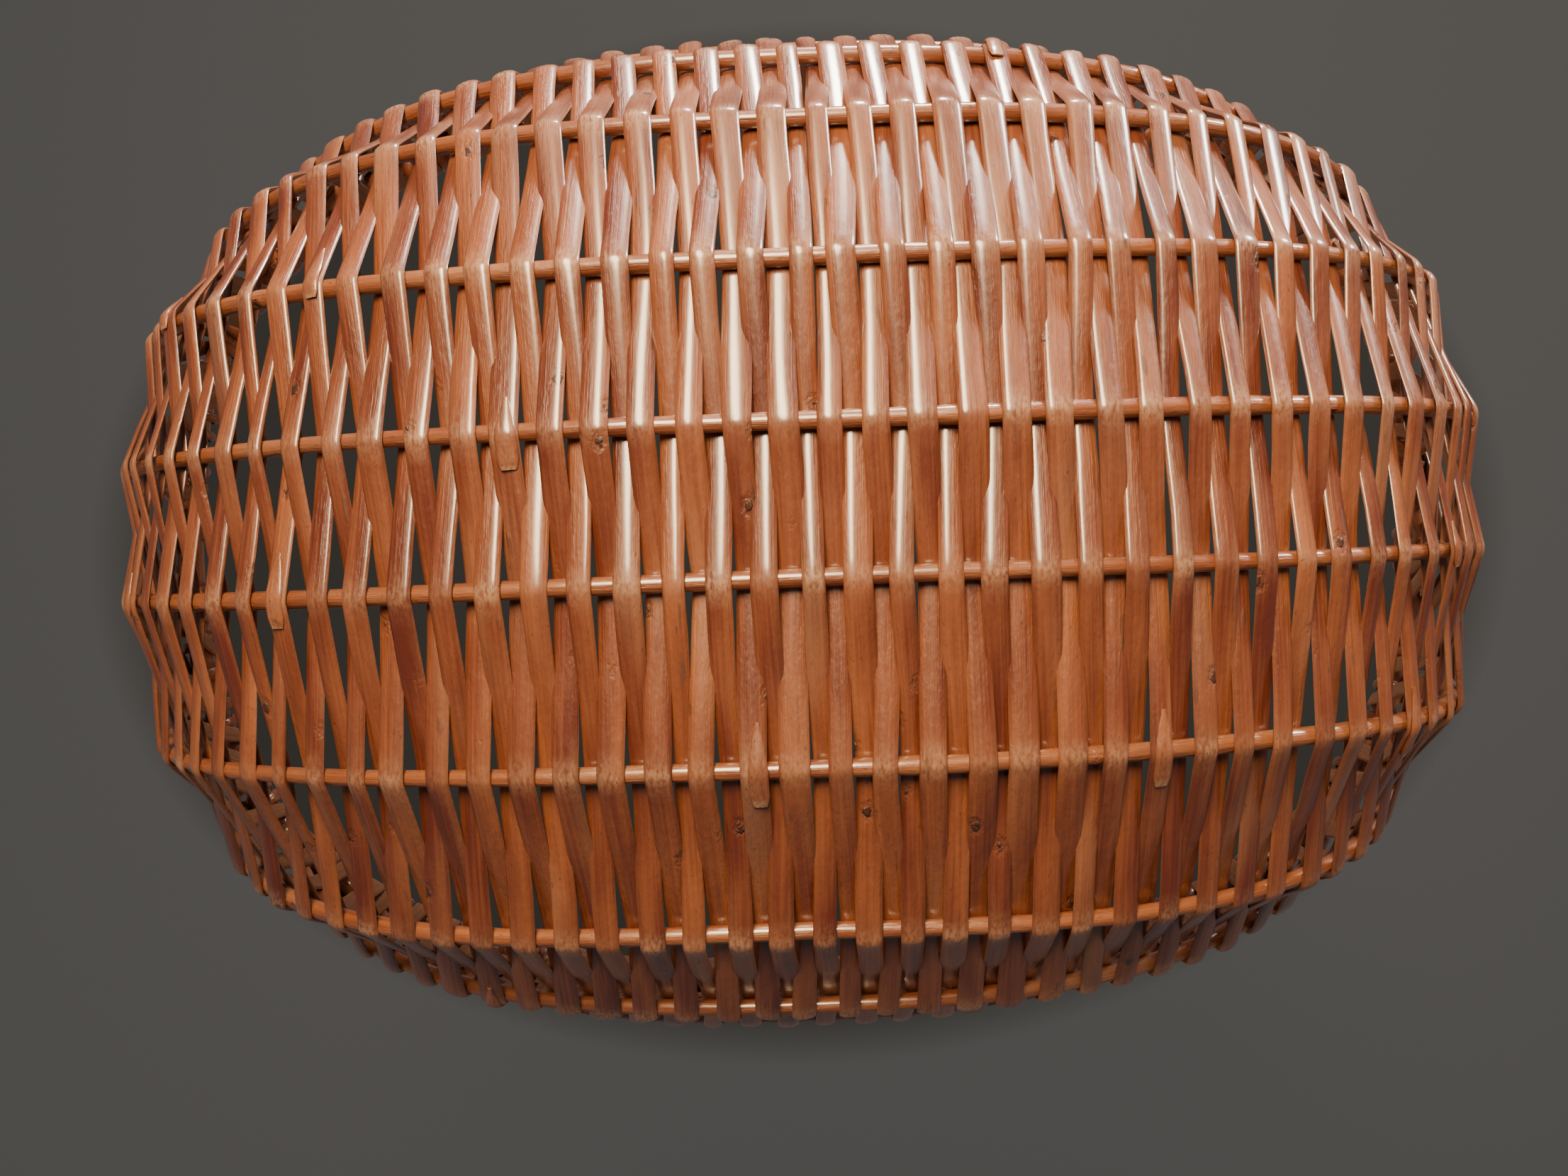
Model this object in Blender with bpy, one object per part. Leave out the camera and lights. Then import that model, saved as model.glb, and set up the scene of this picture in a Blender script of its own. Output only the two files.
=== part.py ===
"""Oval rib basket of split willow: a rim hoop, lengthwise rod ribs and the skeins woven across them.

Metres, +Z up, opening upwards. X runs along the basket, and the origin is under the middle of its
base. The rods' centre lines lie on one bowl-shaped surface. A course of weaving lies in a plane
x = constant: it leaves the rim on one side, passes outside and inside the ribs by turns, and ends
over the rim on the other side.
"""

from math import cos, pi, radians, sin

import bmesh
import bpy
import numpy as np
from mathutils import Vector

MM = 0.001

# The bowl that holds the centre lines of the rim and the ribs.
HALF_LENGTH = 352 * MM
HALF_WIDTH = 254 * MM
BOWL_DEPTH = 232 * MM
PLAN_POWER = 2.5
PROFILE_POWER = 2.7
WORN_FLAT = 3 * MM

# Rods and skeins.
RIM_RADIUS = 7 * MM
RIB_RADIUS = 4 * MM
SKEIN_THICKNESS = 2.4 * MM
SKEIN_MOST_WIDTH = 13.5 * MM
SKEIN_FILL = 0.72
RIB_CLEARANCE = 2.8 * MM
RIM_CLEARANCE = 1.0 * MM

# Layout: ribs at these distances round the bowl from its middle line, and courses along the keel.
RIB_ARCS = [d * MM for d in (-354, -306, -254, -191, -118, -46, 21, 100, 185, 256, 308, 356)]
SKEIN_COUNT = 46
KEEL_END_GAP = 52 * MM
RIB_END_GAP = 40 * MM
SHORT_RUN = 110 * MM
LEAST_FLAT_COURSE = 100 * MM
LEAST_SLANT = 0.15

# How finely the curves are cut.
RIM_STATIONS = 56
RIM_SIDES = 8
RIB_STATIONS = 32
RIB_SIDES = 6
WRAP_STATIONS = 5
SECTION_SAMPLES = 240

WEAVE_OFFSET = RIB_RADIUS + RIB_CLEARANCE + SKEIN_THICKNESS / 2
RIB_BASE = RIB_RADIUS + RIB_CLEARANCE + SKEIN_THICKNESS
RIM_HEIGHT = RIB_BASE + BOWL_DEPTH - WORN_FLAT
FLAT_HALF_RUN = 4 * MM
WRAP_SWEEP = radians(205)
WRAP_CHORD = WRAP_SWEEP / (WRAP_STATIONS - 1)
WRAP_RADIUS = (RIM_RADIUS + RIM_CLEARANCE) / cos(WRAP_CHORD / 2) + SKEIN_THICKNESS / 2

ROD_WILLOW = (0.52, 0.21, 0.08, 1)
SKEIN_TONES = ((0.47, 0.17, 0.06, 1), (0.42, 0.14, 0.045, 1), (0.52, 0.21, 0.085, 1))


def clear_scene():
    for obj in list(bpy.data.objects):
        bpy.data.objects.remove(obj)


def willow(name, colour, roughness):
    material = bpy.data.materials.new(name)
    material.use_nodes = True
    shader = material.node_tree.nodes["Principled BSDF"]
    shader.inputs["Base Color"].default_value = colour
    shader.inputs["Roughness"].default_value = roughness
    shader.inputs["Metallic"].default_value = 0
    return material


class Section:
    """The bowl cut across at one x: points by their distance round it from the middle line."""

    def __init__(self, x):
        self.x = x
        self.across = min(abs(x) / HALF_LENGTH, 1) ** PLAN_POWER
        turn = np.linspace(0, pi / 2, SECTION_SAMPLES)
        reach = (1 - self.across) ** (1 / PLAN_POWER) * np.sin(turn)
        inside = np.clip(1 - (self.across + reach**PLAN_POWER) ** (PROFILE_POWER / PLAN_POWER), 0, 1)
        drop = BOWL_DEPTH * inside ** (1 / PROFILE_POWER)
        self.y = HALF_WIDTH * reach
        self.z = RIM_HEIGHT - np.minimum(drop, BOWL_DEPTH - WORN_FLAT)
        steps = np.hypot(np.diff(self.y), np.diff(self.z))
        self.arc = np.concatenate([[0], np.cumsum(steps)])
        self.half_run = self.arc[-1]

    def point(self, arc):
        side = 1 if arc >= 0 else -1
        y = np.interp(abs(arc), self.arc, self.y)
        return Vector((self.x, side * y, np.interp(abs(arc), self.arc, self.z)))

    def normal(self, arc):
        """The direction straight out of the basket."""
        place = self.point(arc)
        if place.z < RIB_BASE + 1e-6:
            return Vector((0, 0, -1))
        across = (abs(place.x) / HALF_LENGTH) ** PLAN_POWER + (abs(place.y) / HALF_WIDTH) ** PLAN_POWER
        plan = across ** (PROFILE_POWER / PLAN_POWER - 1)
        out_x = plan * (abs(place.x) / HALF_LENGTH) ** (PLAN_POWER - 1) / HALF_LENGTH
        out_y = plan * (abs(place.y) / HALF_WIDTH) ** (PLAN_POWER - 1) / HALF_WIDTH
        down = (max(RIM_HEIGHT - place.z, 0) / BOWL_DEPTH) ** (PROFILE_POWER - 1) / BOWL_DEPTH
        slope = Vector((np.copysign(out_x, place.x), np.copysign(out_y, place.y), -down))
        return slope.normalized()


def keel_places(count):
    """x of the courses, evenly spaced along the bowl's middle line."""
    turn = np.linspace(0, pi / 2, 2000)
    x = HALF_LENGTH * np.sin(turn)
    drop = BOWL_DEPTH * (1 - np.sin(turn) ** PROFILE_POWER).clip(0, 1) ** (1 / PROFILE_POWER)
    arc = np.concatenate([[0], np.cumsum(np.hypot(np.diff(x), np.diff(drop)))])
    last = arc[-1] - KEEL_END_GAP
    runs = np.linspace(-last, last, count)
    return [float(np.copysign(np.interp(abs(run), arc, x), run)) for run in runs]


def rim_point(angle):
    x = np.copysign(abs(cos(angle)) ** (2 / PLAN_POWER), cos(angle)) * HALF_LENGTH
    y = np.copysign(abs(sin(angle)) ** (2 / PLAN_POWER), sin(angle)) * HALF_WIDTH
    return Vector((x, y, RIM_HEIGHT))


def spread(fine, count, closed):
    """Points along a fine path that share out both its length and its turning evenly."""
    places = np.array(fine)
    steps = np.diff(places, axis=0)
    lengths = np.linalg.norm(steps, axis=1)
    headings = steps / lengths[:, None]
    turning = np.arccos(np.clip((headings[1:] * headings[:-1]).sum(axis=1), -1, 1))
    turning = np.concatenate([[0], turning])
    share = lengths / lengths.sum() + turning / turning.sum()
    run = np.concatenate([[0], np.cumsum(share)])
    marks = np.linspace(0, run[-1], count, endpoint=not closed)
    return [Vector([np.interp(mark, run, places[:, axis]) for axis in range(3)]) for mark in marks]


def rim_path():
    return spread([rim_point(2 * pi * i / 2000) for i in range(2001)], RIM_STATIONS, True)


def ring_faces(rings, closed):
    """Quads between neighbouring rings of vertices, with flat caps on an open run."""
    faces = []
    pairs = list(zip(rings, rings[1:]))
    if closed:
        pairs.append((rings[-1], rings[0]))
    for ring, following in pairs:
        for i, vertex in enumerate(ring):
            j = (i + 1) % len(ring)
            faces.append((vertex, ring[j], following[j], following[i]))
    if not closed:
        faces.append(tuple(reversed(rings[0])))
        faces.append(tuple(rings[-1]))
    return faces


def build(name, rings, closed, material):
    mesh = bpy.data.meshes.new(name)
    shape = bmesh.new()
    placed = [[shape.verts.new(point) for point in ring] for ring in rings]
    for face in ring_faces(placed, closed):
        shape.faces.new(face)
    bmesh.ops.recalc_face_normals(shape, faces=shape.faces)
    bmesh.ops.triangulate(shape, faces=shape.faces)
    shape.to_mesh(mesh)
    shape.free()
    mesh.materials.append(material)
    obj = bpy.data.objects.new(name, mesh)
    bpy.context.scene.collection.objects.link(obj)
    return obj


def rod_rings(path, radius, sides, closed):
    """Rings round a rod, each turned from the one before it without twisting."""
    rings = []
    last = len(path) - 1
    outward = Vector((0, 1, 1))
    for i, point in enumerate(path):
        before = path[i - 1] if closed or i else point
        after = path[(i + 1) % len(path)] if closed or i < last else point
        along = (after - before).normalized()
        outward = (outward - along * outward.dot(along)).normalized()
        upward = outward.cross(along)
        turns = [2 * pi * (k + 0.5) / sides for k in range(sides)]
        rings.append([point + (outward * cos(t) + upward * sin(t)) * radius for t in turns])
    return rings


def rib_reach(arc):
    """The furthest x at which a rib this far round the bowl still clears the rim."""
    low, high = 0, HALF_LENGTH
    for _ in range(40):
        middle = (low + high) / 2
        if Section(middle).half_run > abs(arc) + RIB_END_GAP:
            low = middle
        else:
            high = middle
    return low


def rib_path(arc):
    reach = rib_reach(arc)
    fine = [Section(reach * sin(turn)).point(arc) for turn in np.linspace(-pi / 2, pi / 2, 400)]
    return spread(fine, RIB_STATIONS, False)


def wrap(section, side, from_outside):
    """The stretch over the rim: it starts level with the rod and ends a little under it."""
    rim = section.point(side * section.half_run)
    outward = section.normal(side * section.half_run)
    facing = -1 if from_outside else 1
    stations = []
    for i in range(WRAP_STATIONS):
        angle = i * WRAP_CHORD if from_outside else pi - i * WRAP_CHORD
        away = outward * cos(angle) + Vector((0, 0, 1)) * sin(angle)
        stations.append((rim + away * WRAP_RADIUS, away * facing))
    return stations


def crossings(section, spacing, reaches, first_outside):
    """The stretch past the ribs: outside and inside them by turns."""
    stations = []
    for i, arc in enumerate(RIB_ARCS):
        if abs(section.x) > reaches[i] + spacing / 2:
            continue
        outside = (i % 2 == 0) == first_outside
        offset = WEAVE_OFFSET if outside else -WEAVE_OFFSET
        normal = section.normal(arc)
        standing = normal.z < -0.9999 and outside
        steep = section.half_run > LEAST_FLAT_COURSE and section.half_run - abs(arc) < SHORT_RUN
        if standing or steep:
            # Two stations make a flat, to stand on or to keep a steep run to the rim off the rib.
            for shift in (-FLAT_HALF_RUN, FLAT_HALF_RUN):
                normal = section.normal(arc + shift)
                stations.append((section.point(arc + shift) + normal * offset, normal, outside))
        else:
            stations.append((section.point(arc) + normal * offset, normal, outside))
    return stations


def skein_stations(section, spacing, reaches, first_outside):
    crossed = crossings(section, spacing, reaches, first_outside)
    start = wrap(section, -1, from_outside=crossed[0][2])
    end = wrap(section, 1, from_outside=crossed[-1][2])
    return start + [(point, normal) for point, normal, _ in crossed] + end[::-1]


def skein_rings(stations, spacing):
    """A flat strip: as wide as its share of the bowl's surface, and thinnest across it."""
    rings = []
    last = len(stations) - 1
    for i, (point, normal) in enumerate(stations):
        along = (stations[min(i + 1, last)][0] - stations[max(i - 1, 0)][0]).normalized()
        across = along.cross(normal).normalized()
        room = spacing / max(abs(across.x), LEAST_SLANT)
        width = min(SKEIN_MOST_WIDTH, SKEIN_FILL * room)
        half = across * (width / 2)
        depth = normal * (SKEIN_THICKNESS / 2)
        ring = [point - half - depth, point + half - depth, point + half + depth, point - half + depth]
        for corner in ring:
            # Worn level where the basket stands.
            corner.z = max(corner.z, 0)
        rings.append(ring)
    return rings


def make_rim(material):
    build("rim_hoop", rod_rings(rim_path(), RIM_RADIUS, RIM_SIDES, True), True, material)


def make_ribs(material):
    for number, arc in enumerate(RIB_ARCS, 1):
        rings = rod_rings(rib_path(arc), RIB_RADIUS, RIB_SIDES, False)
        build(f"rib_{number:02d}", rings, False, material)


def make_skeins(materials):
    places = keel_places(SKEIN_COUNT)
    reaches = [rib_reach(arc) for arc in RIB_ARCS]
    for number, x in enumerate(places, 1):
        near = places[max(number - 2, 0) : number + 1]
        spacing = min(b - a for a, b in zip(near, near[1:]))
        stations = skein_stations(Section(x), spacing, reaches, number % 2 == 0)
        material = materials[number % len(materials)]
        build(f"skein_{number:02d}", skein_rings(stations, spacing), False, material)


def main():
    clear_scene()
    make_rim(willow("rim_rod", ROD_WILLOW, 0.5))
    make_ribs(willow("rib_rod", ROD_WILLOW, 0.45))
    make_skeins([willow(f"skein_tone_{i}", tone, 0.42) for i, tone in enumerate(SKEIN_TONES)])


main()
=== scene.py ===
"""Looks of the oval willow basket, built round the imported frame.

Every skein, rib and the rim are made again as bent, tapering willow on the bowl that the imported
solids lie on: a strip with a rounded face and a flatter back runs in chords from rib to rib,
outside and inside by turns, and ends in a wrap over the rim.
"""

from math import cos, pi, radians, sin, sqrt, tau

import bpy
import numpy as np
from mathutils import Matrix, Vector


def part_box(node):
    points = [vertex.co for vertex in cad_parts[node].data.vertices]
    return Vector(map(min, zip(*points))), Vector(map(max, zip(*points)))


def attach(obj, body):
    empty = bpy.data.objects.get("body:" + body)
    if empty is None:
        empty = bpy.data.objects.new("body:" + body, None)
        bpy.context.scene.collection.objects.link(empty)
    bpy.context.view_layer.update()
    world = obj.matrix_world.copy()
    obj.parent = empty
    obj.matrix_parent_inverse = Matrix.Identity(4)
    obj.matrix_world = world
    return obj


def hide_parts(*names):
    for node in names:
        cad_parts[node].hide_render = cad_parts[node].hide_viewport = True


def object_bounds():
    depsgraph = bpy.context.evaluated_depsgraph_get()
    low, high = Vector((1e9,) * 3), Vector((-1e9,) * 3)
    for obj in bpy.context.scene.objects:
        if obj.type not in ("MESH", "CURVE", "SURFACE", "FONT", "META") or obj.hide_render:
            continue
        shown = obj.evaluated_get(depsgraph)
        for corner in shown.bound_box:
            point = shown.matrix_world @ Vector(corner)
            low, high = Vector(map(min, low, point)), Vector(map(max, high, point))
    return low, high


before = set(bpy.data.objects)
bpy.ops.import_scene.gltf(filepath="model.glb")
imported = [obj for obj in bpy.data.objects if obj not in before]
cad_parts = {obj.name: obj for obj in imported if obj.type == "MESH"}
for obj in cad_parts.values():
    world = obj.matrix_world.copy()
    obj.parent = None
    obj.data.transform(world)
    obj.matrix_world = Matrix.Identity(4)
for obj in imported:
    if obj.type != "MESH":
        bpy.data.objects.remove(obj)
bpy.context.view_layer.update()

MM = 0.001
rng = np.random.default_rng(23)

# Camera: under the basket, looking up at its woven base.
LENS_MM = 33.15
CAMERA_DISTANCE = 603 * MM
CAMERA_SHIFT = (0.0115, 0.0385)
CAMERA_TILT = (-0.0252, -0.0094, 0.0412)

# The bowl that the centre lines of the rim and the ribs lie on.
PLAN_POWER = 2.5
PROFILE_POWER = 2.7
WORN_FLAT = 3 * MM
RIM_ROD = 7 * MM
RIB_ROD = 4 * MM
FACETED = 0.96  # of its radius is how far a packed rod reaches, on average
SECTION_SAMPLES = 240
KEEL_SAMPLES = 2000

# Willow strips.
STRIP_WIDTH = (9.2 * MM, 13.4 * MM)
STRIP_THICKNESS = (2.1 * MM, 2.9 * MM)
STRIP_TAPER = 0.2
NARROWER_AT_ENDS = 0.22  # of its width that a pass near the basket's ends loses
WIDTH_FIT = (0.62, 1.12)  # how far a strip's width follows the room that it has
LEAST_SLANT = 0.05
BEND_SOFTNESS = 1.7 * MM
BEND_RUB = 5 * MM  # how far round a bend the willow is rubbed
GRAIN_STEP = 1.37  # metres between the grain of one pass and the next, so that none repeats
PATH_STEP = 0.8 * MM
END_FILL = 3  # extra passes beyond the last packed course at each end
CROWN = 0.66  # the share of the thickness on the rounded side
FACE_RISE = 0.95  # powers that shape the rounded face, the flatter back and the edges
BACK_RISE = 0.4
EDGE_REACH = 0.82
PROFILE_SIDES = 14
LEAN = 0.12  # outside crossings sit this share of the room to one side, inside ones to the other
WANDER = 0.07  # how far a crossing strays, as a share of the room
RIB_LEAST_GAP = 14 * MM
RIB_GAP = 0.3 * MM
WRAP_GAP = 0.5 * MM
WRAP_DRIFT = 0.8  # of the room that a turn round the rim moves on
WRAP_SWEEP = radians(268)
WRAP_STATIONS = 16
TONE = (0.5, 0.22)  # mean and spread, from 0, dark, to 1, light
# Unevenness along a pass, as a wavelength and a size.
SWAY = (45 * MM, 0.35 * MM)
SLOW_WIDTH = (70 * MM, 0.035)
QUICK_WIDTH = (22 * MM, 0.022)
UNEVEN_THICKNESS = (60 * MM, 0.04)
ROLL = (80 * MM, radians(3.5))

# Splices: the end of a new rod, from its thin start to its pared end.
SPLICE_CHANCE = 0.16
SPLICE_BEFORE = (14 * MM, 24 * MM)
SPLICE_AFTER = (8 * MM, 22 * MM)
SPLICE_ASIDE = 0.16
SPLICE_WIDTH = (0.62, 0.78)
SPLICE_THICKNESS = (0.7, 0.85)
PARED_SHARE = 0.12

# Rods.
RIB_SIDES = 14
RIB_STATIONS = 160
RIB_TAPER = 0.1
RIB_BEND = (130 * MM, 0.5 * MM)
RIB_LUMPS = (30 * MM, 0.012)
RIB_TIP = 0.45  # of its radius at the very end
TIP_LENGTH = 18 * MM
KNOT_LENGTH = 4 * MM
KNOT_EVERY = 150 * MM
KNOT_SWELL = 0.08
RIM_SIDES = 18
RIM_STATIONS = 240
RIM_FINISHED = 0.97 * RIM_ROD

# Willow colours: from dark to light skin, the paler rubbed willow, the pith darkened with painted
# shade for the basket's shaded inside, and the marks.
SKIN = ((0.125, 0.023, 0.010, 1), (0.37, 0.118, 0.042, 1), (0.50, 0.28, 0.17, 1))
ROD = ((0.19, 0.045, 0.016, 1), (0.42, 0.15, 0.055, 1), (0.52, 0.32, 0.2, 1))
# Pith colour, made darker than the pith itself as painted shade for the shaded inside of the basket.
PITH_WITH_PAINTED_SHADE = (0.24, 0.095, 0.042, 1)
SPECK = (0.10, 0.035, 0.015, 1)
COLLAR = (0.17, 0.055, 0.024, 1)
KNOT = (0.035, 0.013, 0.008, 1)
SCAR = (0.13, 0.05, 0.025, 1)

# Willow patterns: features a metre along the grain and twice across it, detail, and roughness.
STREAKS = ((16, 700, 700), 3.0, 0.6)
FIBRES = ((45, 2600, 2600), 2.0, 0.5)
BLOTCHES = ((13, 70, 70), 2.0, 0.5)
SPECKS = ((330, 620, 620), 2.0, 0.6)
SCARS = ((34, 190, 190), 2.0, 0.5)
BLOOM = ((7, 30, 30), 1.0, 0.5)
DIMPLES = ((150, 330, 330), 2.0, 0.6)
RAGGED = ((420, 620, 620), 1.0, 0.5)
KNOT_CELLS = (24, 34, 34)
RELIEF_DEPTH = 0.4 * MM

# Stage and lamps.
PALE = (0.78, 0.77, 0.75, 1)
SOFT_WHITE = (0.82, 0.84, 0.86, 1)
BLACK = (0, 0, 0, 1)
NEAR_BLACK = (0.02, 0.02, 0.02, 1)
# The backdrop's dark middle is painted shade for the inside of the basket seen through the gaps.
BACKDROP_PAINTED_SHADE = (0.007, 0.0055, 0.0045, 1)
BACKDROP_GREY = (0.06, 0.058, 0.056, 1)
BACKDROP_OVAL = (1.5, 1.1)
BACKDROP_HEIGHT = 2.6
BACKDROP_HALF = 2.4
FLOOR_GLOW = 0.22
ROOM_GLOW = 0.1
BOUNCE_HALF = 2.0
BOUNCE_GAP = 0.05 * MM
FLAT_RADIUS = 1.8
COVE_RADIUS = 0.9
WALL_HEIGHT = 3.0
FLOOR_SIDES = 96
AIM = (0, 0, 0.06)
# Each lamp's place, width and height, power in watts, colour, and whether the willow mirrors it.
LAMPS = {
    "key": ((0.45, -3.0, 0.16), (0.6, 0.6), 134, (1.0, 0.9, 0.77), True),
    "right": ((2.3, -2.1, -0.1), (0.5, 0.8), 82, (1.0, 0.95, 0.84), True),
    "warm_low": ((-0.12, -0.76, -1.12), (0.36, 0.9), 44, (1.0, 0.76, 0.46), True),
    "overhead": ((-0.25, -0.4, 2.1), (1.2, 1.2), 26, (1.0, 0.92, 0.84), False),
    "left_back": ((-2.5, 1.8, 0.9), (0.9, 0.9), 34, (1.0, 0.93, 0.84), False),
    "right_back": ((2.5, 1.8, 0.9), (0.9, 0.9), 28, (1.0, 0.93, 0.84), False),
}

# The rim gives the bowl's mouth, and rib_07, which runs along its level bottom, the depth.
rim_low, rim_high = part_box("rim_hoop")
RIM_Z = (rim_low.z + rim_high.z) / 2
HALF_LENGTH = rim_high.x - FACETED * RIM_ROD
HALF_WIDTH = rim_high.y - FACETED * RIM_ROD
POLE_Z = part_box("rib_07")[0].z + FACETED * RIB_ROD
BOWL_DEPTH = RIM_Z - POLE_Z + WORN_FLAT


class Section:
    """The bowl cut across at one x: points by their distance round it from the middle line."""

    def __init__(self, x):
        self.x = x
        across = min(abs(x) / HALF_LENGTH, 1) ** PLAN_POWER
        turns = np.linspace(0, pi / 2, SECTION_SAMPLES)
        reach = (1 - across) ** (1 / PLAN_POWER) * np.sin(turns)
        inside = 1 - (across + reach**PLAN_POWER) ** (PROFILE_POWER / PLAN_POWER)
        drop = BOWL_DEPTH * np.clip(inside, 0, 1) ** (1 / PROFILE_POWER)
        self.y = HALF_WIDTH * reach
        self.z = RIM_Z - np.minimum(drop, BOWL_DEPTH - WORN_FLAT)
        self.arc = np.concatenate([[0], np.cumsum(np.hypot(np.diff(self.y), np.diff(self.z)))])
        self.half_run = self.arc[-1]

    def point(self, arc):
        y = np.interp(abs(arc), self.arc, self.y)
        z = np.interp(abs(arc), self.arc, self.z)
        return np.array([self.x, np.copysign(y, arc), z])

    def normal(self, arc):
        """The direction straight out of the basket."""
        x, y, z = self.point(arc)
        plan = (abs(x) / HALF_LENGTH) ** PLAN_POWER + (abs(y) / HALF_WIDTH) ** PLAN_POWER
        plan = max(plan, 1e-9) ** (PROFILE_POWER / PLAN_POWER - 1)
        out_x = plan * (abs(x) / HALF_LENGTH) ** (PLAN_POWER - 1) / HALF_LENGTH
        out_y = plan * (abs(y) / HALF_WIDTH) ** (PLAN_POWER - 1) / HALF_WIDTH
        down = (max(RIM_Z - z, 0) / BOWL_DEPTH) ** (PROFILE_POWER - 1) / BOWL_DEPTH
        slope = np.array([np.copysign(out_x, x), np.copysign(out_y, y), -down])
        return slope / np.linalg.norm(slope)


def unit(vectors):
    return vectors / np.maximum(np.linalg.norm(vectors, axis=-1, keepdims=True), 1e-12)


def keel():
    """x and distance along the bowl's middle line, from the lowest point to the rim."""
    turn = np.linspace(0, pi / 2, KEEL_SAMPLES)
    x = HALF_LENGTH * np.sin(turn)
    drop = BOWL_DEPTH * (1 - np.sin(turn) ** PROFILE_POWER).clip(0, 1) ** (1 / PROFILE_POWER)
    return x, np.concatenate([[0], np.cumsum(np.hypot(np.diff(x), np.diff(drop)))])


KEEL_X, KEEL_RUN = keel()


def rib_arc(name):
    """How far round the bowl a packed rib lies, from its box."""
    low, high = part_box(name)
    middle = Section(0)
    y = max(-low.y, high.y) - FACETED * RIB_ROD
    z = low.z + FACETED * RIB_ROD
    nearest = np.argmin(np.hypot(middle.y - y, middle.z - z))
    return float(np.copysign(middle.arc[nearest], low.y + high.y))


RIBS = sorted(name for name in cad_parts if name.startswith("rib_"))
SKEINS = sorted(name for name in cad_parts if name.startswith("skein_"))
RIB_ARCS = [rib_arc(name) for name in RIBS]


def course_run(name):
    """How far along the keel a packed course lies from the middle."""
    low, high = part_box(name)
    x = (low.x + high.x) / 2
    return float(np.copysign(np.interp(abs(x), KEEL_X, KEEL_RUN), x))


COURSE_RUNS = [course_run(name) for name in SKEINS]
COURSE_PITCH = (COURSE_RUNS[-1] - COURSE_RUNS[0]) / (len(COURSE_RUNS) - 1)
ROOM = COURSE_PITCH / 2


# Geometry ---------------------------------------------------------------------------------------


def mesh_object(name, points, faces, attributes, materials, crease=58):
    """A smooth piece, sharp where it turns by more than the crease, in degrees."""
    mesh = bpy.data.meshes.new(name)
    mesh.from_pydata(points.tolist(), [], faces)
    for key, values in attributes.items():
        layer = mesh.attributes.new(key, "FLOAT_VECTOR", "POINT")
        layer.data.foreach_set("vector", np.ascontiguousarray(values, np.float32).ravel())
    for material in materials:
        mesh.materials.append(material)
    mesh.shade_smooth()
    mesh.set_sharp_from_angle(angle=radians(crease))
    mesh.validate()
    piece = bpy.data.objects.new(name, mesh)
    bpy.context.scene.collection.objects.link(piece)
    return piece


def tube_faces(stations, sides, first):
    """Quads round and along a run of rings, with a cap at each end."""
    faces = []
    for s in range(stations - 1):
        ring, following = first + s * sides, first + (s + 1) * sides
        for k in range(sides):
            j = (k + 1) % sides
            faces.append((ring + k, ring + j, following + j, following + k))
    last = first + (stations - 1) * sides
    faces.append(tuple(range(first + sides - 1, first - 1, -1)))
    faces.append(tuple(range(last, last + sides)))
    return faces


def along(points):
    """The distance travelled at each point of a path."""
    steps = np.linalg.norm(np.diff(points, axis=0), axis=1)
    return np.concatenate([[0], np.cumsum(steps)])


def blurred(values, width, step):
    """Values along a path, smoothed over this width with the ends held."""
    half = int(3 * width / step) + 1
    kernel = np.exp(-0.5 * (np.arange(-half, half + 1) * step / width) ** 2)
    kernel /= kernel.sum()
    before = np.repeat(values[:1], half, axis=0)
    after = np.repeat(values[-1:], half, axis=0)
    padded = np.concatenate([before, values, after])
    columns = [np.convolve(column, kernel, "valid") for column in padded.T]
    return np.stack(columns, axis=1)


def eased(points, normals):
    """A dense path through the corners, each rounded, with the normals that go with it."""
    run = along(points)
    dense = np.arange(0, run[-1], PATH_STEP)
    values = np.concatenate([points, normals], axis=1)
    values = np.stack([np.interp(dense, run, values[:, i]) for i in range(6)], axis=1)
    values = blurred(values, BEND_SOFTNESS, PATH_STEP)
    return values[:, :3], unit(values[:, 3:])


def stations_of(path, longest=9 * MM, turn_each=radians(9)):
    """Indices of a dense path's points that share out its length and its turning."""
    steps = np.diff(path, axis=0)
    lengths = np.linalg.norm(steps, axis=1)
    headings = unit(steps)
    turning = np.arccos(np.clip((headings[1:] * headings[:-1]).sum(axis=1), -1, 1))
    share = lengths / longest + np.concatenate([[0], turning]) / turn_each
    run = np.concatenate([[0], np.cumsum(share)])
    marks = np.linspace(0, run[-1], max(int(run[-1]) + 1, 4))
    return np.unique(np.searchsorted(run, marks).clip(0, len(path) - 1))


def noise_along(run, wave, amount):
    """Smooth random values along a path."""
    knots = max(int(run[-1] / wave) + 3, 4)
    values = rng.normal(0, 1, knots)
    places = np.linspace(-wave, run[-1] + wave, knots)
    near = np.interp(run, places, values)
    soft = np.interp(run + wave * 0.31, places, values[::-1])
    return amount * (near + 0.5 * soft)


def strip_profile():
    """Round a strip with a rounded face and a flatter back: across it in half widths, and out of it
    in half thicknesses."""
    turns = np.linspace(0, tau, PROFILE_SIDES, endpoint=False)
    across = np.sign(np.cos(turns)) * np.abs(np.cos(turns)) ** EDGE_REACH
    rise = np.abs(np.sin(turns))
    face = 2 * CROWN * rise**FACE_RISE * (1.12 - 0.2 * across**2)
    back = -2 * (1 - CROWN) * rise**BACK_RISE
    return across, np.where(np.sin(turns) >= 0, face, back)


ACROSS, OUT = strip_profile()


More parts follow.
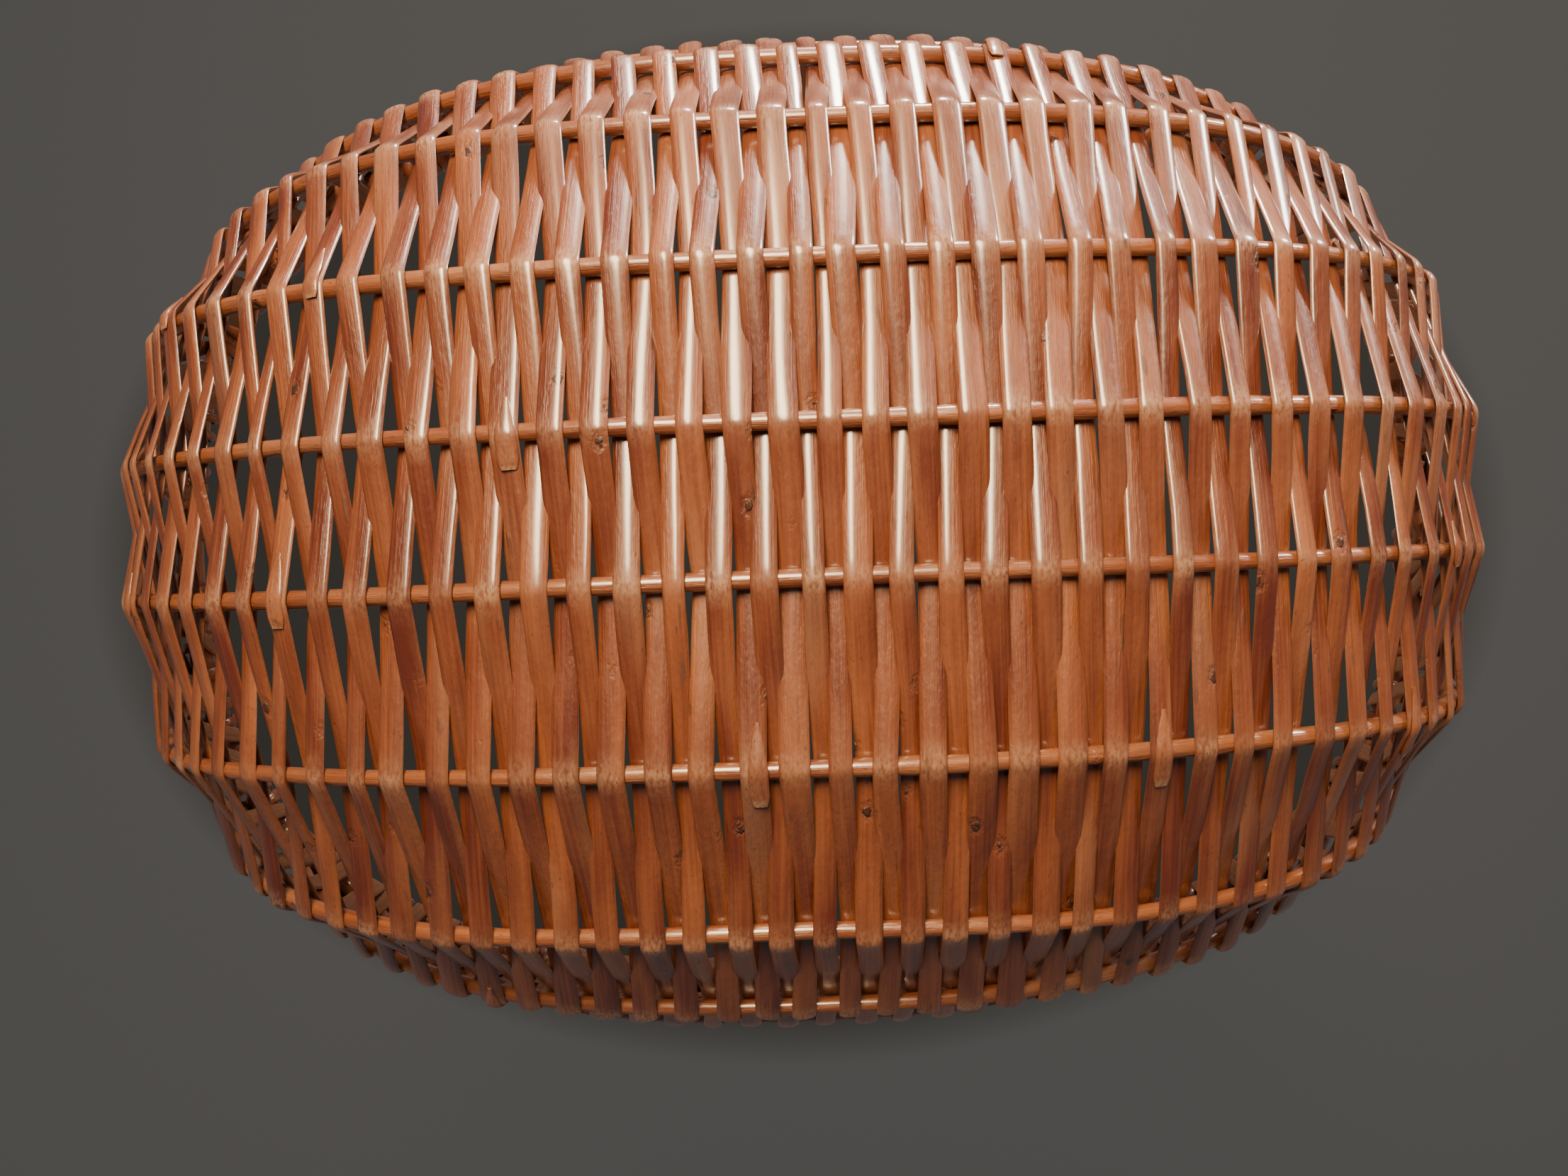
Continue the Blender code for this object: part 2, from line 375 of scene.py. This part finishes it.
class Strips:
    """Collects the swept strips of one piece."""

    def __init__(self):
        self.points, self.faces, self.grain, self.finish = [], [], [], []
        self.count = 0

    def add(self, path, normals, widths, thickness, roll, tone, wear, start):
        """One strip along a path: arrays give its normals, widths, thicknesses, roll and wear. Its
        grain starts at this many metres."""
        run = along(path)
        heading = unit(np.gradient(path, axis=0))
        normals = unit(normals - heading * (normals * heading).sum(axis=1, keepdims=True))
        sideways = np.cross(heading, normals)
        turned = normals * np.cos(roll)[:, None] + sideways * np.sin(roll)[:, None]
        sideways = np.cross(heading, turned)
        lateral = ACROSS[None, :] * widths[:, None] / 2
        height = OUT[None, :] * thickness[:, None] / 2
        points = path[:, None] + sideways[:, None] * lateral[..., None]
        points = points + turned[:, None] * height[..., None]
        rounds = np.broadcast_to(run[:, None] + start, lateral.shape)
        side = np.broadcast_to(0.5 + 0.5 * np.sign(np.round(OUT, 6))[None, :], lateral.shape)
        tones = np.full(lateral.shape, tone)
        wears = np.broadcast_to(wear[:, None], lateral.shape) * np.clip(OUT, 0, 1)[None, :]
        self.faces += tube_faces(len(path), PROFILE_SIDES, self.count)
        self.points.append(points.reshape(-1, 3))
        self.grain.append(np.stack([rounds, lateral, height], axis=-1).reshape(-1, 3))
        self.finish.append(np.stack([tones, wears, side], axis=-1).reshape(-1, 3))
        self.count += lateral.size

    def piece(self, name, material):
        attributes = {"grain": np.concatenate(self.grain), "finish": np.concatenate(self.finish)}
        return mesh_object(name, np.concatenate(self.points), self.faces, attributes, [material])


def rib_radius(index, x):
    """A rib tapers from its butt to its tip, and neighbours point opposite ways."""
    way = 1 if index % 2 else -1
    return RIB_ROD * (1 + RIB_TAPER * way * x / HALF_LENGTH)


def rim_frame(x, side):
    """The rim's centre, its direction straight out and its direction along, beside this x."""
    section = Section(x)
    centre = section.point(side * section.half_run)
    outward = section.normal(side * section.half_run)
    outward = unit(outward * [1, 1, 0])
    return centre, outward, np.array([-outward[1], outward[0], 0])


def wrap(x, side, outside, thickness, room):
    """Points and normals from level with the rim, over it and back under."""
    centre, outward, onward = rim_frame(x, side)
    if onward[0] < 0:
        onward = -onward
    radius = RIM_ROD + thickness / 2 + WRAP_GAP
    travelled = np.linspace(0, WRAP_SWEEP, WRAP_STATIONS)
    angle = travelled if outside else pi - travelled
    way = 1 if outside else -1
    drift = way * room * (travelled / tau - 0.25) * WRAP_DRIFT
    away = np.cos(angle)[:, None] * outward + np.sin(angle)[:, None] * np.array([0, 0, 1])
    points = centre + away * radius + drift[:, None] * onward
    return points, away * way


def crossed_ribs(section):
    return [i for i, arc in enumerate(RIB_ARCS) if abs(arc) < section.half_run - RIB_LEAST_GAP]


def pass_corners(number, x, spacing, thickness):
    """Where one pass of weaving bends: its points, normals and the outside crossings among them."""
    section = Section(x)
    crossings = crossed_ribs(section)
    wander = rng.normal(0, WANDER * (1 + max(x / HALF_LENGTH, 0)), len(crossings))
    points, normals, outer = [], [], []
    for place, i in enumerate(crossings):
        outside = (i + number) % 2 == 0
        normal = section.normal(RIB_ARCS[i])
        slant = max(sqrt(max(1 - normal[0] ** 2, 0)), LEAST_SLANT)
        room = spacing / slant
        beside = unit(np.array([1, 0, 0]) - normal * normal[0])
        offset = rib_radius(i, x) + thickness / 2 + RIB_GAP
        lean = (-LEAN if outside else LEAN) + wander[place]
        shift = beside * room * lean
        height = normal * (offset if outside else -offset)
        points.append(section.point(RIB_ARCS[i]) + height + shift)
        normals.append(normal)
        outer.append(outside)
    if not crossings:
        points, normals, outer = [section.point(0)], [section.normal(0)], [True]
    first = wrap(x, -1, outer[0], thickness, ROOM)
    last = wrap(x, 1, outer[-1], thickness, ROOM)
    corners = np.concatenate([first[0][::-1], points, last[0]])
    facings = np.concatenate([first[1][::-1], normals, last[1]])
    bends = [len(first[0]) + k for k, outside in enumerate(outer) if outside]
    return corners, facings, bends


def room_along(normals, spacing):
    """How much room a pass has along the bowl, which grows where the bowl faces its ends."""
    slant = np.sqrt(np.clip(1 - normals[:, 0] ** 2, LEAST_SLANT**2, 1))
    return spacing / slant


def add_pass(strips, number, x, spacing):
    """One pass of weaving, from the rim on one side to the rim on the other."""
    thickness = rng.uniform(*STRIP_THICKNESS)
    width = rng.triangular(STRIP_WIDTH[0], sum(STRIP_WIDTH) / 2, STRIP_WIDTH[1])
    width *= 1 - NARROWER_AT_ENDS * min(max(1.6 * abs(x) / HALF_LENGTH - 0.5, 0), 1)
    taper = rng.uniform(-STRIP_TAPER, STRIP_TAPER)
    corners, facings, bends = pass_corners(number, x, spacing, thickness)
    path, normals = eased(corners, facings)
    run = along(path)
    marks = along(corners)[bends] * run[-1] / along(corners)[-1]
    wear = np.zeros(len(run))
    for mark in marks:
        wear = np.maximum(wear, rng.uniform(0.15, 1) * np.exp(-(((run - mark) / BEND_RUB) ** 2)))
    path = path + noise_along(run, *SWAY)[:, None] * [1, 0, 0]
    chosen = stations_of(path)
    room = blurred(room_along(normals, spacing)[:, None], 12 * MM, PATH_STEP)[:, 0]
    fit = np.clip(room / ROOM, *WIDTH_FIT)
    uneven = noise_along(run, *SLOW_WIDTH) + noise_along(run, *QUICK_WIDTH)
    widths = width * fit * (1 + taper * (run / run[-1] - 0.5) + uneven)
    thick = thickness * (1 + noise_along(run, *UNEVEN_THICKNESS))
    roll = noise_along(run, *ROLL)
    tone = float(np.clip(rng.normal(*TONE), 0, 1))
    cut = [values[chosen] for values in (path, normals, widths, thick, roll)]
    strips.add(*cut, tone, wear[chosen], number * GRAIN_STEP)
    if rng.random() < SPLICE_CHANCE and len(marks) > 2:
        mark = marks[rng.integers(1, len(marks) - 1)]
        add_splice(strips, path, normals, run, mark, width, thickness)


def add_splice(strips, path, normals, run, mark, width, thickness):
    """The cut end of a new rod, lying on the old one over an outside crossing."""
    before, after = rng.uniform(*SPLICE_BEFORE), rng.uniform(*SPLICE_AFTER)
    part = np.flatnonzero((run > mark - before) & (run < mark + after))[::3]
    travelled = (run[part] - run[part[0]]) / (run[part[-1]] - run[part[0]])
    aside = rng.uniform(-SPLICE_ASIDE, SPLICE_ASIDE) * width
    lift = thickness * (0.78 + 0.35 * travelled**4)
    heading = unit(np.gradient(path[part], axis=0))
    sideways = np.cross(heading, normals[part])
    laid = path[part] + normals[part] * lift[:, None] + sideways * aside
    narrowing = np.clip(2 * travelled, 0.12, 1) ** 0.6
    pared = np.clip((1 - travelled) / PARED_SHARE, 0, 1)
    widths = width * rng.uniform(*SPLICE_WIDTH) * narrowing * (0.7 + 0.3 * pared)
    thick = thickness * rng.uniform(*SPLICE_THICKNESS) * np.clip(narrowing, 0.4, 1)
    thick *= 0.35 + 0.65 * pared
    wear = 0.25 + 0.75 * (travelled > 0.93)
    tone = float(rng.uniform(0.5, 1))
    roll = np.full(len(part), rng.normal(0, 0.06))
    strips.add(laid, normals[part], widths, thick, roll, tone, wear, mark * 7)


def keel_place(run):
    """The x of a place on the keel."""
    return float(np.copysign(np.interp(abs(run), KEEL_RUN, KEEL_X), run))


def make_skeins(material):
    """Each packed course is the two passes of one skein, out and back."""
    for index, (name, run) in enumerate(zip(SKEINS, COURSE_RUNS)):
        strips = Strips()
        first = -END_FILL if index == 0 else 0
        last = 2 + END_FILL if index == len(SKEINS) - 1 else 2
        for half in range(first, last):
            middle = run + (half - 0.5) * ROOM
            spacing = keel_place(middle + ROOM / 2) - keel_place(middle - ROOM / 2)
            add_pass(strips, 2 * index + half, keel_place(middle), spacing)
        piece = strips.piece(name.replace("skein", "willow_skein"), material)
        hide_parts(name)
        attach(piece, "root")


def rod_mesh(name, path, radii, sides, material, closed=False):
    """A round rod along a path, as thick as the given radii."""
    path = np.asarray(path)
    heading = np.roll(path, -1, axis=0) - np.roll(path, 1, axis=0)
    if not closed:
        heading[0], heading[-1] = path[1] - path[0], path[-1] - path[-2]
    heading = unit(heading)
    first = unit(np.cross(heading, [0.0, 0.0, 1.0]))
    second = np.cross(heading, first)
    turns = np.linspace(0, tau, sides, endpoint=False)
    aside, above = np.cos(turns)[None, :, None], np.sin(turns)[None, :, None]
    circle = aside * first[:, None] + above * second[:, None]
    points = path[:, None] + circle * radii[:, None, None]
    run = np.broadcast_to(along(path)[:, None], (len(path), sides))
    lateral, height = np.cos(turns)[None] * radii[:, None], np.sin(turns)[None] * radii[:, None]
    rounds = np.stack([run, lateral, height], axis=-1)
    faces = tube_faces(len(path), sides, 0)
    if closed:
        faces = faces[:-2]
        last = (len(path) - 1) * sides
        faces += [(last + k, last + (k + 1) % sides, (k + 1) % sides, k) for k in range(sides)]
    finish = np.zeros((points.shape[0] * sides, 3))
    finish[:, 0] = rng.uniform(0.35, 0.75)
    finish[:, 2] = 1
    attributes = {"grain": rounds.reshape(-1, 3) + [rng.uniform(0, 9), 0, 0], "finish": finish}
    return mesh_object(name, points.reshape(-1, 3), faces, attributes, [material], 70)


def rib_end(arc):
    """The furthest x at which a rib still stops short of the rim."""
    low, high = 0, HALF_LENGTH
    for _ in range(30):
        middle = (low + high) / 2
        if Section(middle).half_run > abs(arc) + RIM_ROD + 2 * MM:
            low = middle
        else:
            high = middle
    return low


def make_ribs(material):
    """Each packed rib as a bent rod with knots, thinner at its ends, that runs on to the rim."""
    for index, (name, arc) in enumerate(zip(RIBS, RIB_ARCS)):
        reach = rib_end(arc)
        turns = np.linspace(-pi / 2, pi / 2, RIB_STATIONS)
        fine = np.array([Section(reach * sin(turn)).point(arc) for turn in turns])
        run = along(fine)
        bend = np.stack([noise_along(run, *RIB_BEND) for _ in range(3)], axis=1)
        lumps = 1 + noise_along(run, *RIB_LUMPS)
        knots = np.zeros(len(run))
        for mark in rng.uniform(0, run[-1], int(run[-1] / KNOT_EVERY)):
            knots = np.maximum(knots, np.exp(-(((run - mark) / KNOT_LENGTH) ** 2)))
        radii = np.array([rib_radius(index, x) for x in fine[:, 0]])
        radii *= lumps + KNOT_SWELL * knots
        ends = np.minimum(run, run[-1] - run) / TIP_LENGTH
        radii *= RIB_TIP + (1 - RIB_TIP) * np.clip(ends, 0, 1) ** 0.6
        piece = rod_mesh(name.replace("rib", "willow_rib"), fine + bend, radii, RIB_SIDES, material)
        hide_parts(name)
        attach(piece, "root")


def make_rim(material):
    """The rim hoop: one round rod, closed into an oval."""
    turn = np.linspace(0, tau, RIM_STATIONS, endpoint=False)
    x = np.copysign(np.abs(np.cos(turn)) ** (2 / PLAN_POWER), np.cos(turn)) * HALF_LENGTH
    y = np.copysign(np.abs(np.sin(turn)) ** (2 / PLAN_POWER), np.sin(turn)) * HALF_WIDTH
    path = np.stack([x, y, np.full(len(x), RIM_Z)], axis=1)
    radii = np.full(len(x), RIM_FINISHED)
    piece = rod_mesh("willow_rim", path, radii, RIM_SIDES, material, closed=True)
    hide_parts("rim_hoop")
    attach(piece, "root")


# Materials --------------------------------------------------------------------------------------


class Shader:
    """A material and short ways to add nodes to it."""

    def __init__(self, name):
        self.material = bpy.data.materials.new(name)
        self.material.use_nodes = True
        self.tree = self.material.node_tree
        self.surface = self.tree.nodes["Principled BSDF"]

    def set(self, node, inputs):
        """Links each socket among the values, and sets the rest."""
        for key, value in inputs.items():
            socket = node.inputs[key]
            if isinstance(value, bpy.types.NodeSocket):
                self.tree.links.new(value, socket)
            else:
                socket.default_value = value

    def add(self, kind, inputs, output=0, **settings):
        """A new node, of which it gives back one output."""
        node = self.tree.nodes.new(kind)
        for key, value in settings.items():
            setattr(node, key, value)
        self.set(node, inputs)
        return node.outputs[output]

    def attribute(self, name):
        return self.add("ShaderNodeAttribute", {}, "Vector", attribute_name=name)

    def noise(self, place, scale, detail, roughness):
        """Noise over the willow's own coordinates, along it and across it."""
        stretched = self.add("ShaderNodeVectorMath", {0: place, 1: scale}, operation="MULTIPLY")
        inputs = {"Vector": stretched, "Scale": 1.0, "Detail": detail, "Roughness": roughness}
        return self.add("ShaderNodeTexNoise", inputs, 0)

    def ramp(self, value, low, high, to_low=0.0, to_high=1.0):
        """Turns low to high into to_low to to_high, and holds the ends."""
        inputs = {"Value": value, "From Min": low, "From Max": high}
        inputs |= {"To Min": to_low, "To Max": to_high}
        return self.add("ShaderNodeMapRange", inputs, 0, clamp=True)

    def math(self, operation, a, b):
        return self.add("ShaderNodeMath", {0: a, 1: b}, operation=operation)

    def product(self, a, b):
        return self.math("MULTIPLY", a, b)

    def plus(self, total, value, share):
        """total + value * share"""
        return self.math("ADD", total, self.product(value, share))

    def mix(self, factor, a, b):
        node = self.tree.nodes.new("ShaderNodeMix")
        node.data_type = "RGBA"
        self.set(node, {0: factor, 6: a, 7: b})
        return node.outputs[2]


def knots_of(shader, grain):
    """A knot and the wider collar of bent grain round it, each from 0 to 1."""
    place = shader.add("ShaderNodeVectorMath", {0: grain, 1: KNOT_CELLS}, operation="MULTIPLY")
    cells = shader.tree.nodes.new("ShaderNodeTexVoronoi")
    shader.set(cells, {"Vector": place, "Scale": 1.0, "Randomness": 1.0})
    reach = shader.plus(cells.outputs["Distance"], shader.noise(grain, *RAGGED), 0.1)
    return shader.ramp(reach, 0.09, 0.125, 1, 0), shader.ramp(reach, 0.11, 0.19, 1, 0)


def willow_shader(name, dark, light, pale, roughness, coat):
    """Peeled willow: lengthwise streaks, blotches, specks, knots, rubbed bends and a matt pith side.

    The mesh carries "grain", the metres along, across and out of the strip, and "finish", its tone,
    its wear, and 1 on the outer face against 0 on the pith side, whose colour is pith darkened with
    painted shade.
    """
    shader = Shader(name)
    grain = shader.attribute("grain")
    finish = shader.tree.nodes.new("ShaderNodeSeparateXYZ")
    shader.set(finish, {0: shader.attribute("finish")})
    tone, wear, outer = finish.outputs[0], finish.outputs[1], finish.outputs[2]

    streaks = shader.noise(grain, *STREAKS)
    fibres = shader.noise(grain, *FIBRES)
    blotches = shader.noise(grain, *BLOTCHES)
    specks = shader.noise(grain, *SPECKS)
    bloom = shader.noise(grain, *BLOOM)
    dimples = shader.noise(grain, *DIMPLES)
    knot, collar = knots_of(shader, grain)
    rubbed = shader.product(wear, shader.ramp(specks, 0.35, 0.6, 0.15, 0.85))
    scarred = shader.ramp(shader.noise(grain, *SCARS), 0.7, 0.76, 0, 0.8)

    level = shader.plus(shader.ramp(blotches, 0.3, 0.72, -0.22, 0.42), tone, 0.62)
    level = shader.math("ADD", level, shader.ramp(streaks, 0.3, 0.7, -0.2, 0.2))
    colour = shader.mix(shader.ramp(level, 0, 1), dark, light)
    colour = shader.mix(shader.ramp(bloom, 0.55, 0.75, 0, 0.3), colour, pale)
    colour = shader.mix(rubbed, colour, pale)
    colour = shader.mix(shader.ramp(specks, 0.66, 0.74, 0, 0.75), colour, SPECK)
    colour = shader.mix(shader.product(collar, 0.5), colour, COLLAR)
    colour = shader.mix(shader.product(knot, 0.8), colour, KNOT)
    colour = shader.mix(scarred, colour, SCAR)
    # The pith side: pith colour darkened with painted shade, for the shade inside the basket.
    darker_pith_with_painted_shade = [c * 0.72 for c in PITH_WITH_PAINTED_SHADE[:3]] + [1]
    back = shader.mix(shader.ramp(streaks, 0.35, 0.65), PITH_WITH_PAINTED_SHADE, darker_pith_with_painted_shade)
    colour = shader.mix(outer, back, colour)

    matt = shader.ramp(blotches, 0.3, 0.7, roughness - 0.06, roughness + 0.1)
    matt = shader.plus(matt, scarred, 0.25)
    matt = shader.plus(matt, rubbed, 0.12)
    matt = shader.math("ADD", matt, shader.ramp(outer, 0, 1, 0.25, 0))
    relief = shader.plus(streaks, fibres, 0.5)
    relief = shader.plus(relief, scarred, -0.8)
    relief = shader.plus(relief, collar, 1.6)
    relief = shader.plus(relief, knot, -2.2)
    relief = shader.plus(relief, dimples, 1.3)
    relief = shader.plus(relief, blotches, 1.6)
    bump_inputs = {"Height": relief, "Strength": 1.0, "Distance": RELIEF_DEPTH}
    bump = shader.add("ShaderNodeBump", bump_inputs, 0)
    glossy = shader.ramp(outer, 0.1, 0.9, 0.05, coat)
    shader.set(shader.surface, {"Base Color": colour, "Roughness": matt, "Normal": bump})
    shader.set(shader.surface, {"Coat Weight": glossy, "Coat Roughness": 0.2})
    shader.set(shader.surface, {"Coat IOR": 1.75, "IOR": 1.5})
    return shader.material


# Stage ------------------------------------------------------------------------------------------


def floor_material():
    """Pale, faintly clouded and a little lit from within, and clear when met from behind."""
    shader = Shader("pale_floor")
    tree = shader.tree
    cloud = shader.add("ShaderNodeTexNoise", {"Scale": 3.0, "Detail": 2.0}, 0)
    darker = [c * 0.9 for c in PALE[:3]] + [1]
    tint = shader.mix(shader.ramp(cloud, 0.3, 0.7, 0, 0.05), PALE, darker)
    shader.set(shader.surface, {"Base Color": tint, "Roughness": 0.85})
    shader.set(shader.surface, {"Emission Color": PALE, "Emission Strength": FLOOR_GLOW})
    behind = tree.nodes.new("ShaderNodeNewGeometry").outputs["Backfacing"]
    clear = tree.nodes.new("ShaderNodeBsdfTransparent").outputs[0]
    choice = tree.nodes.new("ShaderNodeMixShader")
    shader.set(choice, {0: behind, 1: shader.surface.outputs[0], 2: clear})
    shader.set(tree.nodes["Material Output"], {"Surface": choice.outputs[0]})
    return shader.material


def glow_material(name, colour, glow, strength):
    """A matt sheet that gives off an even light of its own."""
    shader = Shader(name)
    shader.set(shader.surface, {"Base Color": colour, "Roughness": 1.0})
    shader.set(shader.surface, {"Emission Color": glow, "Emission Strength": strength})
    return shader


def stage_object(name, points, faces, material, unseen_by):
    """A piece of the stage, which the named kinds of ray pass by."""
    mesh = bpy.data.meshes.new(name)
    mesh.from_pydata(points, [], faces)
    mesh.materials.append(material)
    mesh.shade_smooth()
    obj = bpy.data.objects.new(name, mesh)
    bpy.context.scene.collection.objects.link(obj)
    for ray in (*unseen_by, "glossy", "transmission", "volume_scatter", "shadow"):
        setattr(obj, f"visible_{ray}", False)


def make_floor(height):
    """A pale floor that curves up to a wall all round. Only the camera sees it, and not from below."""
    rings = [(FLAT_RADIUS * share, 0.0) for share in (1 / 3, 2 / 3, 1)]
    for turn in np.linspace(0.15, pi / 2, 10):
        rings.append((FLAT_RADIUS + COVE_RADIUS * sin(turn), COVE_RADIUS * (1 - cos(turn))))
    rings.append((FLAT_RADIUS + COVE_RADIUS, WALL_HEIGHT))
    turns = [tau * k / FLOOR_SIDES for k in range(FLOOR_SIDES)]
    points = [(r * cos(t), r * sin(t), height + z) for r, z in rings for t in turns]
    points.append((0, 0, height))
    faces = []
    for k in range(FLOOR_SIDES):
        j = (k + 1) % FLOOR_SIDES
        faces.append((len(points) - 1, k, j))
        for ring in range(len(rings) - 1):
            a, b = ring * FLOOR_SIDES, (ring + 1) * FLOOR_SIDES
            faces.append((a + k, b + k, b + j, a + j))
    stage_object("floor", points, faces, floor_material(), ["diffuse"])


def square(half, height, centre=(0, 0)):
    """The corners of a level square, anticlockwise from above."""
    x, y = centre[0], centre[1]
    turns = ((-1, -1), (1, -1), (1, 1), (-1, 1))
    return [(x + half * right, y + half * back, height) for right, back in turns]


def make_bounce(height):
    """An even glow that only bounced light meets: it stands for the light off a pale floor, and
    keeps the lamps below from tinting the floor by way of the basket."""
    glow = glow_material("bounce_glow", BLACK, SOFT_WHITE, ROOM_GLOW).material
    glow.cycles.emission_sampling = "NONE"
    stage_object("bounce", square(BOUNCE_HALF, height), [(0, 1, 2, 3)], glow, ["camera"])


def make_backdrop(centre):
    """A grey sheet high over the basket, which the camera below sees behind it. Its darker middle is
    painted shade: it stands for the darkness that shows through the gaps of the weave."""
    shader = glow_material("backdrop_grey", NEAR_BLACK, BACKDROP_GREY, 1.0)
    place = shader.add("ShaderNodeTexCoord", {}, "Object")
    oval = (1 / BACKDROP_OVAL[0], 1 / BACKDROP_OVAL[1], 0)
    place = shader.add("ShaderNodeVectorMath", {0: place, 1: oval}, operation="MULTIPLY")
    away = shader.add("ShaderNodeVectorMath", {0: place}, "Value", operation="LENGTH")
    # Painted shade: the middle of the sheet is darker, for the inside of the basket behind the gaps.
    tint = shader.mix(shader.ramp(away, 0.92, 1.05), BACKDROP_PAINTED_SHADE, BACKDROP_GREY)
    shader.set(shader.surface, {"Emission Color": tint})
    corners = square(BACKDROP_HALF, BACKDROP_HEIGHT, centre)
    stage_object("backdrop", corners, [(3, 2, 1, 0)], shader.material, ["diffuse"])


def make_camera():
    """Aimed up at the base, with the small tilts and shifts of a hand-held shot."""
    tilt, swing, roll = CAMERA_TILT
    nod = Matrix(((1, 0, 0), (0, cos(tilt), -sin(tilt)), (0, sin(tilt), cos(tilt))))
    pan = Matrix(((cos(swing), 0, -sin(swing)), (0, 1, 0), (sin(swing), 0, cos(swing))))
    spin = Matrix(((cos(roll), -sin(roll), 0), (sin(roll), cos(roll), 0), (0, 0, 1)))
    upside = Matrix(((1, 0, 0), (0, -1, 0), (0, 0, 1)))
    turned = spin @ pan @ nod @ upside
    moved = Vector((CAMERA_SHIFT[0], CAMERA_SHIFT[1], 1)) * CAMERA_DISTANCE
    place = Vector((0, 0, POLE_Z)) - turned.transposed() @ moved
    right, up, forward = turned[0], turned[1], turned[2]
    axes = Matrix((right, up, -forward)).transposed()
    camera = bpy.data.objects.new("camera", bpy.data.cameras.new("camera"))
    camera.data.lens = LENS_MM
    camera.data.sensor_width = 36
    camera.data.clip_start = 0.02
    camera.matrix_world = Matrix.Translation(place) @ axes.to_4x4()
    bpy.context.scene.collection.objects.link(camera)
    bpy.context.scene.camera = camera


def area_light(name, place, size, power, colour, glint):
    """One soft lamp; without glint it lights the willow but leaves no highlight on it."""
    lamp = bpy.data.lights.new(name, "AREA")
    lamp.shape, lamp.energy, lamp.color = "ELLIPSE", power, colour
    lamp.size, lamp.size_y = size
    light = bpy.data.objects.new(name, lamp)
    light.location = place
    light.rotation_euler = (Vector(AIM) - Vector(place)).to_track_quat("-Z", "Y").to_euler()
    light.visible_camera = False
    light.visible_glossy = glint
    bpy.context.scene.collection.objects.link(light)


def make_lights():
    """Soft studio light: the lamps, and a faint even glow from the room."""
    for name, values in LAMPS.items():
        area_light(name, *values)
    world = bpy.data.worlds.new("studio")
    world.use_nodes = True
    background = world.node_tree.nodes["Background"]
    background.inputs["Color"].default_value = SOFT_WHITE
    background.inputs["Strength"].default_value = ROOM_GLOW
    bpy.context.scene.world = world


# The scene --------------------------------------------------------------------------------------

make_camera()
skin = willow_shader("willow_skin", *SKIN, roughness=0.4, coat=0.9)
rod = willow_shader("willow_rod", *ROD, roughness=0.38, coat=0.9)
make_rim(rod)
make_ribs(rod)
make_skeins(skin)
low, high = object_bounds()
make_floor(low.z)
make_bounce(low.z + BOUNCE_GAP)
make_backdrop((low + high) / 2)
make_lights()
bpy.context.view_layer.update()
